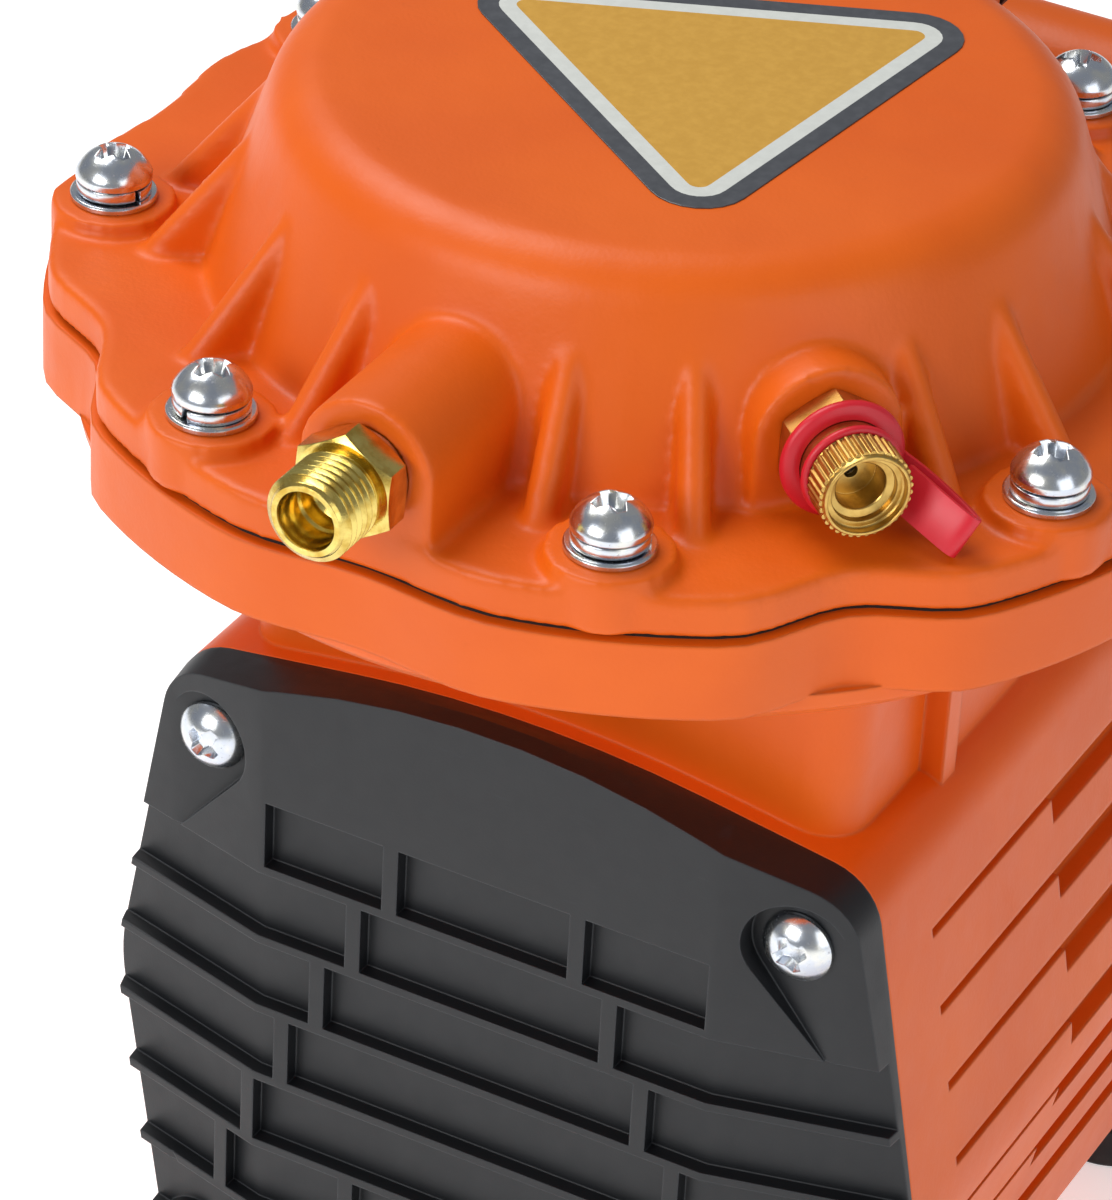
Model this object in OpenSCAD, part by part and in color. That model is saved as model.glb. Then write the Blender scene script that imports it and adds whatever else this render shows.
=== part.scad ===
// Direct-drive diaphragm air compressor.
// A round diaphragm head sits on a cast body. A motor in the body turns an eccentric,
// and a rod on the eccentric works the diaphragm under the head.
// +Z is up and the black front cover faces -Y. The floor is at Z = 0.

/* [Head] */
// Height of the screw pads on the head above the floor
head_z = 216; // [214:1:222]
// Radius of the circle through the head screws
screw_circle_r = 82.5; // [82:0.5:83]
// Radius of the flange at its lobes
lobe_r = 90.8; // [90:0.2:92]
// How far the flange draws in between the lobes at the diagonals
deep_valley = 5.6; // [3:0.2:6]
// How far the flange draws in at the front, back and sides
shallow_valley = 3.4; // [2:0.2:4]
// Height of the dome above the screw pads
dome_h = 29.4; // [28:0.2:31]
// Width of a stiffening rib on the dome
rib_w = 4.6; // [4:0.2:5]
// Thickness of the upper flange
flange_t = 6.3; // [6:0.1:7]

/* [Ports] */
// Radius of the outlet's outside thread
outlet_thread_r = 6.6; // [6.4:0.1:6.8]
// Length of the outlet's outside thread
outlet_thread_l = 9.4; // [8:0.2:11]
// Direction of the relief valve, from +X towards +Y
relief_angle = 316.5; // [314:0.5:318]
// Travel of the relief valve's ball
ball_lift = 0.8; // [0.5:0.1:0.9]

/* [Body] */
// Height of the motor axis above the floor
axis_z = 84; // [83:1:86]
// Distance from the head's axis to the face that the front cover sits on
body_front = 37; // [37:0.5:38]
// Distance from the head's axis to the face that the rear cover sits on
body_back = 125; // [124:1:128]
// Distance between the side ribs and between the bars of the front cover
rib_pitch = 13.3; // [13:0.1:13.6]
// Depth of the front cover's sunken panels
panel_depth = 2.6; // [2:0.1:3]

/* [Drive] */
// Offset of the eccentric, half of the diaphragm's stroke
throw = 2.6; // [2:0.1:2.8]
// Radius of the motor shaft
shaft_r = 7.5; // [7:0.1:7.5]
// Radius of the stator
stator_r = 58; // [57:0.5:58]
// Number of fan blades
fan_blades = 9; // [5:1:11]

/* [Hidden] */
$fn = 64;

// The head's axis stands this far towards -Y, so that the whole object is centred on the origin.
head_y = -26;
eps = 0.02;
gap = 0.1;

cast = [0.90, 0.40, 0.12];
black = [0.12, 0.13, 0.14];
zinc = [0.80, 0.81, 0.83];
brass = [0.78, 0.66, 0.30];
red = [0.80, 0.10, 0.15];
steel = [0.62, 0.63, 0.65];
rubber = [0.08, 0.08, 0.08];
alloy = [0.75, 0.76, 0.77];

screw_angles = [for (i = [0:7]) 22.5 + 45 * i];
outlet_angle = 270;
intake_angle = 90;
// The ribs stand in pairs beside the screws. The pair by the outlet makes room for its boss.
rib_spread = 8.2;
outlet_pair = 247.5;
rib_angles = [for (a = screw_angles) each (a == outlet_pair
    ? [a - 13, a + 6.3] : [a - rib_spread, a + rib_spread])];

pad_t = 2.3;
pad_r = 9.3;
flange_top = -pad_t;
flange_low = flange_top - flange_t;
split_gap = 0.7;
lower_top = flange_low - split_gap;
lower_low = -21.3;
lower_proud = 0.8;
plate_r = 65;
plate_t = 5;
plate_top = flange_low + plate_t;
plate_screw_circle = 62.5;
plate_screws = [for (i = [0:5]) 60 * i + 30];
screw_r = 3;
washer_t = 1.1;
lock_t = 2.1;

outlet_x = -0.5;
outlet_z = 7.2;
outlet_boss_r = 10.5;
outlet_boss_y = 87.6;
outlet_hex_t = 5;
outlet_washer_t = 1;
relief_z = 8;
relief_boss_r = 11;
relief_face = 68;
relief_hex_end = 72.3;
relief_tube_end = 77.6;
relief_cap_end = 83.4;
relief_plug = 75.6;
relief_bore_r = 3;
relief_seat = 66.5;
ball_r = 2.2;
intake_boss_r = 12;
intake_face = 88.5;
intake_z = 12;
tie_bolt_r = 2;
tie_circle_r = 53.5;
soft_gap = 0.3;

side_x = 70.5;
shoulder = [58.5, 62.3];
ridge_y = 71.1;
body_corners = [
    [side_x, 0], shoulder, [0, ridge_y], [-shoulder.x, shoulder.y],
    [-side_x, 0], -shoulder, [0, -ridge_y], [shoulder.x, -shoulder.y]
];
body_radii = [30, 10, 200, 10, 30, 10, 200, 10];
face_side_x = 67.2;
face_shoulder = [58, 61];
face_ridge_y = 77.8;
face_corners = [
    [face_side_x, 0], face_shoulder, [0, face_ridge_y], [-face_shoulder.x, face_shoulder.y],
    [-face_side_x, 0], -face_shoulder, [0, -face_ridge_y], [face_shoulder.x, -face_shoulder.y]
];
face_radii = [30, 12, 130, 12, 30, 12, 130, 12];
cover_screw = [50, 52];
rear_screw = [46, 47.5];
cover_top = 48.3;
fold_x = 39;
cover_edge_top = 42.6;
cover_wall = 3;

chamber_back = 22;
wall_back = 36;
bearing_r = 17.5;
bearing_w = 11;
front_bearing_y = 24;
rear_bearing_y = 112;
bracket_t = 5.5;
shaft_front = -7;
shaft_back = 146;
stator_front = 50;
stator_back = 95;
rotor_r = 33;
winding_len = 11;
rod_bearing_r = 21;
eccentric_r = 15;
rod_w = 9;
pin_z = -throw;
fan_y = 130;
fan_w = 11;
fan_r = 50;
rear_cover_back = 150;

clamp_r = 38;
clamp_t = 2.2;
diaphragm_t = 2.5;
diaphragm_low = -19.2;
axis_drop = head_z - axis_z;

foot_x = 47;
foot_front_y = -14;
foot_back_y = 106;
foot_h = 13;
foot_r = 12;
foot_boss_top = 60;
handle_x = 49;
handle_at_y = 117;
handle_z = -19;
grip_r = 10.5;
post_w = 13;
switch_pin_z = -0.5;
rocker_tilt = 8;

function polar(r, a) = [r * cos(a), r * sin(a)];
function unit(v) = v / norm(v);

// The arc that rounds one corner of an outline that runs anticlockwise
function corner_arc(before, tip, after, r, steps = 7) =
    let (u = unit(before - tip), v = unit(after - tip), half = acos(u * v) / 2)
    let (centre = tip + unit(u + v) * r / sin(half))
    let (start = tip + u * r / tan(half) - centre, turn = 180 - 2 * half)
    let (first = atan2(start.y, start.x))
    [for (i = [0:steps]) centre + polar(r, first + turn * i / steps)];

// A closed outline with its corners rounded, at a scale of k
function rounded(corners, radii, k = 1) =
    let (n = len(corners))
    [for (i = [0:n - 1]) each corner_arc(
        corners[(i + n - 1) % n] * k, corners[i] * k, corners[(i + 1) % n] * k, radii[i] * k)];

// The points of a path, each moved sideways by a distance
function beside(path, d) =
    let (last = len(path) - 1)
    [for (i = [0:last])
        let (u = unit(path[min(i + 1, last)] - path[max(i - 1, 0)]))
        path[i] + d * [-u.y, u.x]];

// Radius of the flange's wavy edge in a direction
function flange_r(a) =
    let (k = round(a / 45), off = abs(a - 45 * k), deep = k % 2 != 0)
    let (depth = deep ? deep_valley : shallow_valley, reach = deep ? 12 : 14)
    lobe_r - (off < reach ? depth * (1 + cos(180 * off / reach)) / 2 : 0);

module at_head() {
    translate([0, head_y, head_z]) children();
}

// Local Y is up and local Z points to the front, from the motor axis under the head
module at_motor() {
    translate([0, head_y, axis_z]) rotate([90, 0, 0]) children();
}

// A piece on the motor axis, between two distances behind the head's axis
module along_motor(from, to) {
    at_motor() translate([0, 0, -to]) linear_extrude(to - from) children();
}

// Local Z points out of the head in a direction, from a height over the pads
module port(angle, z) {
    at_head() rotate([0, 0, angle]) translate([0, 0, z]) rotate([0, 90, 0]) children();
}

module around_head(r, angles) {
    at_head() for (a = angles) translate(concat(polar(r, a), 0)) rotate([0, 0, a]) children();
}

module wavy(grow, low, high) {
    at_head() translate([0, 0, low]) linear_extrude(high - low)
        polygon([for (a = [0:2.5:357.5]) polar(flange_r(a) + grow, a)]);
}

module ring(outer, inner, h) {
    difference() {
        cylinder(r = outer, h = h);
        translate([0, 0, -1]) cylinder(r = inner, h = h + 2);
    }
}

// A domed screw head with a cross recess, standing on z = 0
module pan_head(r, h, rim) {
    cap = h - rim;
    ball = (r * r + cap * cap) / (2 * cap);
    slot = r * 0.24;
    difference() {
        union() {
            cylinder(r = r, h = rim + eps);
            intersection() {
                translate([0, 0, h - ball]) sphere(r = ball);
                translate([0, 0, rim]) cylinder(r = r, h = h);
            }
        }
        for (a = [0, 90]) rotate([0, 0, a])
            translate([-r * 0.5, -slot / 2, h * 0.42]) cube([r, slot, h]);
    }
}

module pan_screw(thread_r, length, head_r, head_h) {
    pan_head(head_r, head_h, head_h * 0.22);
    translate([0, 0, -length]) cylinder(r = thread_r, h = length + eps);
}

module four(x, y) {
    for (i = [-1, 1], j = [-1, 1]) translate([i * x, j * y, 0]) children();
}

/* Head */

module dome_solid() {
    corner_r = 9;
    side_top = 57.5;
    low_r = 68;
    lean = atan2(dome_h - flange_top, low_r - side_top);
    half = (180 - lean) / 2;
    centre = [side_top - corner_r / tan(half), dome_h - corner_r];
    arc = [for (i = [0:9]) centre + polar(corner_r, 90 - lean * i / 9)];
    at_head() rotate_extrude()
        polygon(concat([[0, flange_low], [low_r, flange_low], [low_r, flange_top]],
            [for (i = [9:-1:0]) arc[i]], [[0, dome_h]]));
}

// A rib's crest runs up from the flange and dives into the dome. Its section has eased corners.
module dome_rib() {
    low_r = 78.3;
    lean = 38.8;
    crest_w = rib_w * 0.22;
    foot_w = rib_w * 0.6;
    difference() {
        translate([low_r, 0, flange_top - 1]) rotate([0, -lean, 0]) linear_extrude(31)
            polygon([[-12, -foot_w], [-1.4, -rib_w / 2], [0, -crest_w],
                [0, crest_w], [-1.4, rib_w / 2], [-12, foot_w]]);
        translate([0, -10, flange_top - 41]) cube([100, 20, 40]);
    }
}

// A round boss on the head that stands on the flange
module port_boss(r, z, from, to) {
    translate([0, 0, from]) cylinder(r = r, h = to - from);
    translate([0, -r, from]) cube([z - flange_top + 1, 2 * r, to - from]);
}

module outlet_axis() {
    translate([outlet_x, 0, 0]) port(outlet_angle, outlet_z) children();
}

module relief_axis() {
    port(relief_angle, relief_z) children();
}

module intake_axis() {
    port(intake_angle, intake_z) children();
}

module head_chambers() {
    divider = 5;
    at_head() difference() {
        rotate_extrude() polygon([[0, plate_top - 1], [59, plate_top - 1], [59, plate_top],
            [55.5, 17], [50, 25.2], [0, 25.2]]);
        translate([-70, -divider / 2, -10]) cube([140, divider, 60]);
    }
}

module head_cover() {
    color(cast) difference() {
        union() {
            dome_solid();
            wavy(0, flange_low, flange_top);
            around_head(screw_circle_r, screw_angles)
                translate([0, 0, flange_low]) cylinder(r = pad_r, h = -flange_low);
            at_head() for (a = rib_angles) rotate([0, 0, a]) dome_rib();
            outlet_axis() port_boss(outlet_boss_r, outlet_z, 50, outlet_boss_y);
            relief_axis() port_boss(relief_boss_r, relief_z, 50, relief_face);
            intake_axis() port_boss(intake_boss_r, intake_z, 50, intake_face);
        }
        head_chambers();
        at_head() translate([0, 0, flange_low - 1])
            cylinder(r = plate_r + gap, h = plate_t + 1);
        around_head(screw_circle_r, screw_angles)
            translate([0, 0, flange_low - 1]) cylinder(r = screw_r + 0.3, h = 20);
        around_head(plate_screw_circle, plate_screws)
            translate([0, 0, plate_top - 1]) cylinder(r = 1.55, h = 9);
        outlet_axis() translate([0, 0, 76]) cylinder(r = 6.3, h = 20);
        outlet_axis() translate([0, 0, 50]) cylinder(r = 4, h = 30);
        relief_axis() translate([0, 0, 50]) cylinder(r = 5.6, h = 30);
        intake_axis() translate([0, 0, 50]) cylinder(r = 6, h = 40);
        intake_axis() translate([0, 0, intake_face - 6]) cylinder(r = 9.6, h = 10);
    }
}

module head_label() {
    reach = 47.7;
    round_r = 7.5;
    color([0.90, 0.70, 0.25]) at_head() translate([4.4, 2.1, dome_h]) rotate([0, 0, 174])
        linear_extrude(0.3) polygon(rounded(
            [for (i = [0:2]) polar(reach, 120 * i)], [round_r, round_r, round_r]));
}

module head_screws() {
    color(zinc) around_head(screw_circle_r, screw_angles)
        translate([0, 0, washer_t + lock_t]) pan_screw(screw_r - 0.05, 23, 5.7, 4.9);
}

module lock_washers() {
    cut = 0.8;
    color(zinc) around_head(screw_circle_r, screw_angles) translate([0, 0, washer_t])
        difference() {
            ring(5.6, screw_r + 0.15, lock_t);
            translate([0, -cut / 2, -1]) cube([8, cut, 4]);
        }
}

module flat_washers() {
    color(zinc) around_head(screw_circle_r, screw_angles) ring(6.5, screw_r + 0.2, washer_t);
}

module outlet_fitting() {
    hex_af = 14.6;
    hex_z = outlet_boss_y + outlet_washer_t;
    thread_z = hex_z + outlet_hex_t;
    color(brass) outlet_axis() difference() {
        union() {
            translate([0, 0, hex_z - 11]) cylinder(r = 6.2, h = 11 + eps);
            translate([0, 0, hex_z]) cylinder(d = hex_af / cos(30), h = outlet_hex_t, $fn = 6);
            translate([0, 0, thread_z - eps]) cylinder(r = outlet_thread_r, h = outlet_thread_l);
        }
        translate([0, 0, 70]) cylinder(r = 2.7, h = 40);
        translate([0, 0, thread_z + outlet_thread_l - 8]) cylinder(r = 4.1, h = 10);
    }
}

module outlet_washer() {
    color(steel) outlet_axis() translate([0, 0, outlet_boss_y]) ring(6.9, 6.25, outlet_washer_t);
}

module relief_valve_body() {
    color(brass) relief_axis() difference() {
        union() {
            translate([0, 0, 58]) cylinder(r = 5.5, h = 12);
            translate([0, 0, relief_face])
                cylinder(d = 14.6 / cos(30), h = relief_hex_end - relief_face, $fn = 6);
            translate([0, 0, relief_hex_end - eps])
                cylinder(r = 6.4, h = relief_tube_end - relief_hex_end);
        }
        translate([0, 0, relief_seat]) cylinder(r = relief_bore_r, h = 20);
        translate([0, 0, relief_plug - 1]) cylinder(r = 4.95, h = 20);
        translate([0, 0, 50]) cylinder(r = 1.6, h = 30);
    }
}

module relief_valve_ball() {
    color(steel) relief_axis() translate([0, 0, relief_seat + ball_r + 0.05]) sphere(r = ball_r);
}

module relief_valve_spring() {
    wire = 0.35;
    turns = 6;
    low = relief_seat + 2 * ball_r + 0.1 + wire;
    high = relief_plug - 0.05 - wire;
    color(steel) relief_axis() for (i = [0:turns - 1])
        translate([0, 0, low + (high - low) * i / (turns - 1)])
            rotate_extrude() translate([1.9, 0]) circle(r = wire, $fn = 16);
}

// The cap's plug sits in the body and bears on the spring. Air leaves through its bore.
module relief_valve_cap() {
    color(brass) relief_axis() difference() {
        union() {
            translate([0, 0, relief_tube_end + 0.05])
                cylinder(r = 6.8, h = relief_cap_end - relief_tube_end - 0.05);
            translate([0, 0, relief_plug]) cylinder(r = 4.9, h = 3);
        }
        translate([0, 0, relief_plug - 1]) cylinder(r = 1, h = 9);
        translate([0, 0, relief_plug + 1]) cylinder(r = 3.6, h = 20);
        translate([0, 0, relief_cap_end - 2.6]) cylinder(r = 4.7, h = 9);
        translate([0, 0, relief_cap_end - 1.4]) cylinder(r = 5.7, h = 9);
    }
}

// Two rings on the valve and the strap that folds back between them, down to one side
module relief_valve_tether() {
    half_t = 0.5;
    path = [[8, 72.8], [11, 75.5], [13.5, 79.5], [15.2, 83.5], [15.6, 86], [14.2, 86.2],
        [12.2, 83.6], [9.8, 80.2], [7.4, 76.9]];
    color(red) relief_axis() {
        translate([0, 0, relief_hex_end]) ring(9, 6.5, 1.7);
        translate([0, 0, relief_tube_end - 1.3]) ring(7.3, 6.5, 1.2);
        rotate([0, 0, 58]) translate([0, 4.6, 0]) rotate([90, 0, 0]) linear_extrude(6.4)
            polygon(concat(beside(path, half_t),
                [for (i = [len(path) - 1:-1:0]) beside(path, -half_t)[i]]));
    }
}

module intake_cap() {
    cap_r = 13.6;
    color(black) intake_axis() translate([0, 0, intake_face]) difference() {
        union() {
            cylinder(r = cap_r, h = 12);
            translate([0, 0, -5.9]) cylinder(r = 9.5, h = 6);
        }
        translate([0, 0, -6.5]) cylinder(r = 6, h = 8);
        translate([0, 0, 1.4]) cylinder(r = cap_r - 2, h = 8.6);
        for (a = [0:30:330]) rotate([0, 0, a])
            translate([cap_r - 4, -1.5, 3]) cube([8, 3, 5.5]);
    }
}

module intake_filter() {
    color([0.35, 0.35, 0.34]) intake_axis() translate([0, 0, intake_face + 1.5]) ring(11.4, 6.5, 8.4);
}

/* Valves and diaphragm */

module valve_plate() {
    color(alloy) difference() {
        at_head() translate([0, 0, flange_low]) cylinder(r = plate_r, h = plate_t);
        around_head(plate_screw_circle, plate_screws) {
            translate([0, 0, flange_low - 1]) cylinder(r = 1.6, h = 20);
            translate([0, 0, flange_low - 1]) cylinder(r = 2.45, h = 3.2);
        }
        around_head(24, [60, 90, 120, 240, 270, 300])
            translate([0, 0, flange_low - 1]) cylinder(r = 3, h = 20);
        around_head(42, [90, 270]) translate([0, 0, flange_low - 1]) cylinder(r = 1.3, h = 20);
        at_head() translate([0, 0, plate_top - 1.2]) ring(60.45, 59.15, 3);
        // The intake reed and its screw hang in this hollow
        at_head() translate([0, 32, flange_low - 1]) cylinder(r = 24.5, h = 2.4);
    }
}

module valve_plate_seal() {
    color(rubber) at_head() translate([0, 0, plate_top - 1.2]) ring(60.4, 59.2, 1.2);
}

module valve_plate_screws() {
    color(zinc) around_head(plate_screw_circle, plate_screws)
        translate([0, 0, flange_low + 2.2]) rotate([180, 0, 0]) pan_screw(1.5, 8, 2.4, 1.9);
}

module reed() {
    thickness = 0.3;
    linear_extrude(thickness) difference() {
        union() {
            translate([-17, 16]) square([34, 14]);
            translate([-4.5, 28]) square([9, 18]);
        }
        translate([0, 42]) circle(r = 1.4);
    }
}

module intake_reed() {
    color(steel) at_head() translate([0, 0, flange_low + 1.1]) reed();
}

module discharge_reed() {
    color(steel) at_head() translate([0, 0, plate_top]) rotate([0, 0, 180]) reed();
}

module reed_screws() {
    color(zinc) at_head() {
        translate([0, 42, flange_low + 1.1]) rotate([180, 0, 0]) pan_screw(1.2, 3.6, 2.3, 0.9);
        translate([0, -42, plate_top + 0.3]) pan_screw(1.2, 4, 2.6, 1.8);
    }
}

module diaphragm() {
    rim = 76.3;
    low = diaphragm_low + soft_gap;
    top = diaphragm_low + diaphragm_t - soft_gap;
    rim_low = flange_low - diaphragm_t;
    color(rubber) {
        at_head() rotate_extrude() polygon([
            [4, low], [clamp_r + 4, low], [58, rim_low], [rim, rim_low],
            [rim, flange_low], [57, flange_low], [clamp_r + 3, top], [4, top]]);
        difference() {
            wavy(-1.2, lower_top, flange_low);
            at_head() translate([0, 0, lower_top - 1]) cylinder(r = rim - 0.5, h = 3);
            around_head(screw_circle_r, screw_angles)
                translate([0, 0, lower_top - 1]) cylinder(r = screw_r + 0.4, h = 3);
        }
    }
}

module upper_clamp_plate() {
    color(alloy) at_head() translate([0, 0, diaphragm_low + diaphragm_t]) difference() {
        cylinder(r = clamp_r, h = clamp_t);
        translate([0, 0, clamp_t - 1.6]) cylinder(r = 7, h = 3);
        translate([0, 0, -1]) cylinder(r = 3.1, h = 9);
    }
}

module lower_clamp_plate() {
    color(alloy) at_head() translate([0, 0, diaphragm_low - clamp_t]) ring(clamp_r, 3.1, clamp_t);
}

module clamp_screw() {
    head_h = 1.5;
    top = diaphragm_low + diaphragm_t + clamp_t;
    color(zinc) at_head() translate([0, 0, top - 1.6]) pan_screw(3, 26, 6.5, head_h);
}

/* Drive */

// The rod hangs at its lowest point at rest
module connecting_rod() {
    rod_top = axis_drop + diaphragm_low - clamp_t;
    color(alloy) at_motor() difference() {
        union() {
            translate([0, pin_z, -rod_w / 2]) cylinder(r = 27, h = rod_w);
            translate([-9, pin_z + 22, -rod_w / 2]) cube([18, rod_top - pin_z - 24, rod_w]);
            translate([0, rod_top - 5, 0]) rotate([-90, 0, 0]) cylinder(r = 24, h = 5);
            translate([0, rod_top - 18, 0]) rotate([-90, 0, 0]) cylinder(r = 8, h = 14);
        }
        translate([0, pin_z, -20]) cylinder(r = rod_bearing_r + 0.02, h = 40);
        translate([0, rod_top - 24, 0]) rotate([-90, 0, 0]) cylinder(r = 3.1, h = 30);
        for (s = [-1, 1]) translate([-4.5, pin_z + 32, s * 3.6 - 2])
            cube([9, 54, 4]);
    }
}

module ball_bearing(bore, outer, w) {
    race = (outer - bore) * 0.24;
    ring(outer, outer - race, w);
    ring(bore + race, bore, w);
    translate([0, 0, 0.6]) ring(outer - race + eps, bore + race - eps, w - 1.2);
}

module rod_bearing() {
    color(steel) at_motor() translate([0, pin_z, -3.5]) ball_bearing(eccentric_r, rod_bearing_r, 7);
}

module eccentric() {
    hub_back = 21;
    color(steel) at_motor() difference() {
        union() {
            translate([0, pin_z, -6]) cylinder(r = eccentric_r - 0.02, h = 10);
            translate([0, 0, -hub_back]) cylinder(r = 13, h = hub_back - 5.5);
            translate([0, 0, -15]) intersection() {
                cylinder(r = 34, h = 8);
                translate([-40, 4, -1]) cube([80, 40, 12]);
            }
            translate([0, 0, -15]) cylinder(r = 18, h = 8);
        }
        translate([0, 0, -40]) cylinder(r = shaft_r + 0.02, h = 60);
        translate([0, -6, -18]) rotate([90, 0, 0]) cylinder(r = 2.05, h = 12);
    }
}

module eccentric_set_screw() {
    color(rubber) at_motor() translate([0, -shaft_r - 0.3, -18]) rotate([90, 0, 0])
        difference() {
            cylinder(r = 2, h = 5);
            translate([0, 0, 3]) cylinder(r = 1, h = 3, $fn = 6);
        }
}

module motor_shaft() {
    groove_y = fan_y + fan_w + 0.2;
    color(steel) difference() {
        along_motor(shaft_front, shaft_back) circle(r = shaft_r);
        along_motor(groove_y, groove_y + 1.1) difference() {
            circle(r = shaft_r + 2);
            circle(r = shaft_r - 0.7);
        }
    }
}

module front_bearing() {
    color(steel) at_motor() translate([0, 0, -front_bearing_y - bearing_w])
        ball_bearing(shaft_r + 0.03, bearing_r, bearing_w);
}

module rear_bearing() {
    color(steel) at_motor() translate([0, 0, -rear_bearing_y - bearing_w])
        ball_bearing(shaft_r + 0.03, bearing_r, bearing_w);
}

module rotor() {
    color(steel) along_motor(stator_front, stator_back) difference() {
        circle(r = rotor_r);
        circle(r = shaft_r + 0.02);
    }
}

module rotor_end_rings() {
    color(alloy) for (y = [stator_front - 5, stator_back]) along_motor(y, y + 5) difference() {
        circle(r = rotor_r - 0.5);
        circle(r = rotor_r - 9);
    }
}

module stator() {
    teeth = 12;
    slot_in = 37;
    slot_out = 49;
    color(steel) along_motor(stator_front, stator_back) difference() {
        circle(r = stator_r);
        circle(r = rotor_r + 0.5);
        for (i = [0:3]) rotate(45 + 90 * i) translate([tie_circle_r, 0])
            circle(r = tie_bolt_r + gap);
        for (i = [0:teeth - 1]) rotate(30 * i) {
            translate([slot_in, -5]) square([slot_out - slot_in, 10]);
            translate([rotor_r - 1, -1.2]) square([slot_in - rotor_r + 2, 2.4]);
        }
    }
}

// Copper in the slots, and the end turns that stand out of both ends of the stator
module stator_windings() {
    color([0.72, 0.38, 0.20]) {
        for (y = [stator_front - winding_len, stator_back]) along_motor(y, y + winding_len)
            difference() {
                circle(r = 50);
                circle(r = 37);
            }
        along_motor(stator_front - 1, stator_back + 1) for (i = [0:11])
            rotate(30 * i) translate([38, -4.6]) square([10.6, 9.2]);
    }
}

module cooling_fan() {
    hub_r = 13;
    color(black) at_motor() translate([0, 0, -fan_y - fan_w]) difference() {
        union() {
            cylinder(r = hub_r, h = fan_w);
            cylinder(r = fan_r - 6, h = 1.6);
            for (i = [0:fan_blades - 1]) rotate([0, 0, 360 * i / fan_blades])
                translate([hub_r - 2, -0.9, 0]) cube([fan_r - hub_r + 2, 1.8, fan_w]);
        }
        translate([0, 0, -1]) cylinder(r = shaft_r + 0.02, h = fan_w + 2);
    }
}

module fan_clip() {
    start = fan_y + fan_w + 0.25;
    color(steel) along_motor(start, start + 1) difference() {
        circle(r = shaft_r + 2.5);
        circle(r = shaft_r - 0.6);
        translate([0, -2.5]) square([20, 5]);
    }
}

/* Body and covers */

module body_outline(k = 1) {
    polygon(rounded(body_corners, body_radii, k));
}

// A slab of the body's outline between two distances behind the head's axis
module body_slab(from, to, k = 1) {
    along_motor(from, to) body_outline(k);
}

module side_grooves() {
    shallow_from = -22;
    deep_from = 20;
    deep_to = 112;
    rows = [-3:3];
    first = 4.5;
    difference() {
        union() for (i = rows) {
            at_motor() translate([-100, first + rib_pitch * i, -deep_from])
                cube([200, 1.5, deep_from - shallow_from]);
        }
        body_slab(-40, 130, 0.982);
    }
    difference() {
        union() for (i = rows) {
            at_motor() translate([-100, first - 4 + rib_pitch * i, -deep_to])
                cube([200, 5.5, deep_to - deep_from]);
        }
        body_slab(-40, 130, 0.955);
    }
}

module neck() {
    neck_x = 51.5;
    neck_front = -34;
    neck_back = 50;
    corner_r = 8;
    low = -70;
    high = -27;
    at_head() translate([0, 0, low]) linear_extrude(high - low) {
        polygon(rounded(
            [[neck_x, neck_back], [-neck_x, neck_back], [-neck_x, neck_front], [neck_x, neck_front]],
            [corner_r, corner_r, corner_r, corner_r]));
        translate([-neck_x - 4, -9]) square([2 * neck_x + 8, 4.5]);
        translate([-neck_x - 2, -4.6]) square([2 * neck_x + 4, 46]);
    }
}

module foot_places() {
    for (y = [foot_front_y, foot_back_y], x = [-foot_x, foot_x])
        translate([x, head_y + y, 0]) children();
}

module body_casting() {
    dish_low = -30;
    swing_r = 45;
    throat_x = 44;
    throat_front = -29.5;
    throat_back = 44.5;
    color(cast) difference() {
        union() {
            wavy(lower_proud, lower_low, lower_top);
            at_head() rotate_extrude() polygon([[0, lower_low], [87.2, lower_low + 0.5],
                [86.6, -23.6], [84, -26], [78, -28], [60, dish_low], [0, dish_low]]);
            neck();
            body_slab(-body_front, body_back);
            foot_places() translate([0, 0, foot_h])
                cylinder(r = foot_r - 1, h = axis_z - foot_boss_top - foot_h + 6);
            for (x = [-handle_x, handle_x]) at_head()
                translate([x - 8, handle_at_y - 8, -axis_drop + 50]) cube([16, 15, 18.5]);
        }
        side_grooves();
        difference() {
            body_slab(-body_front - 1, chamber_back, 0.9);
            at_motor() four(cover_screw.x, cover_screw.y)
                translate([0, 0, -chamber_back]) cylinder(r = 8, h = 80);
        }
        at_head() translate([-throat_x, throat_front, -100])
            cube([2 * throat_x, chamber_back - 2 - throat_front, 70]);
        at_head() translate([-throat_x, throat_front, -59])
            cube([2 * throat_x, throat_back - throat_front, 37]);
        at_head() translate([0, 0, -23.5]) cylinder(r = swing_r, h = 5);
        at_head() translate([0, 0, lower_top - 10.5]) cylinder(r = 59, h = 20);
        at_head() translate([0, 0, flange_low - diaphragm_t]) cylinder(r = 76.5, h = 20);
        around_head(screw_circle_r, screw_angles)
            translate([0, 0, lower_low + 0.5]) cylinder(r = screw_r, h = 30);
        at_motor() four(cover_screw.x, cover_screw.y)
            translate([0, 0, body_front - 14]) cylinder(r = 2.4, h = 60);
        at_motor() four(rear_screw.x, rear_screw.y)
            translate([0, 0, -body_back - 60]) cylinder(r = 2.4, h = 74);
        along_motor(chamber_back - 1, wall_back + 1) circle(r = 13);
        along_motor(front_bearing_y, wall_back + 1) circle(r = bearing_r + 0.02);
        along_motor(wall_back, body_back + 1) circle(r = stator_r + 0.05);
        tie_places() translate([0, 0, -wall_back - 1]) cylinder(r = tie_bolt_r + 0.05, h = 11);
        foot_places() translate([0, 0, 2]) cylinder(r = 2.4, h = 28);
        for (x = [-handle_x, handle_x]) at_head()
            translate([x, handle_at_y, -axis_drop + 46]) cylinder(r = 2.4, h = 40);
    }
}

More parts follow.
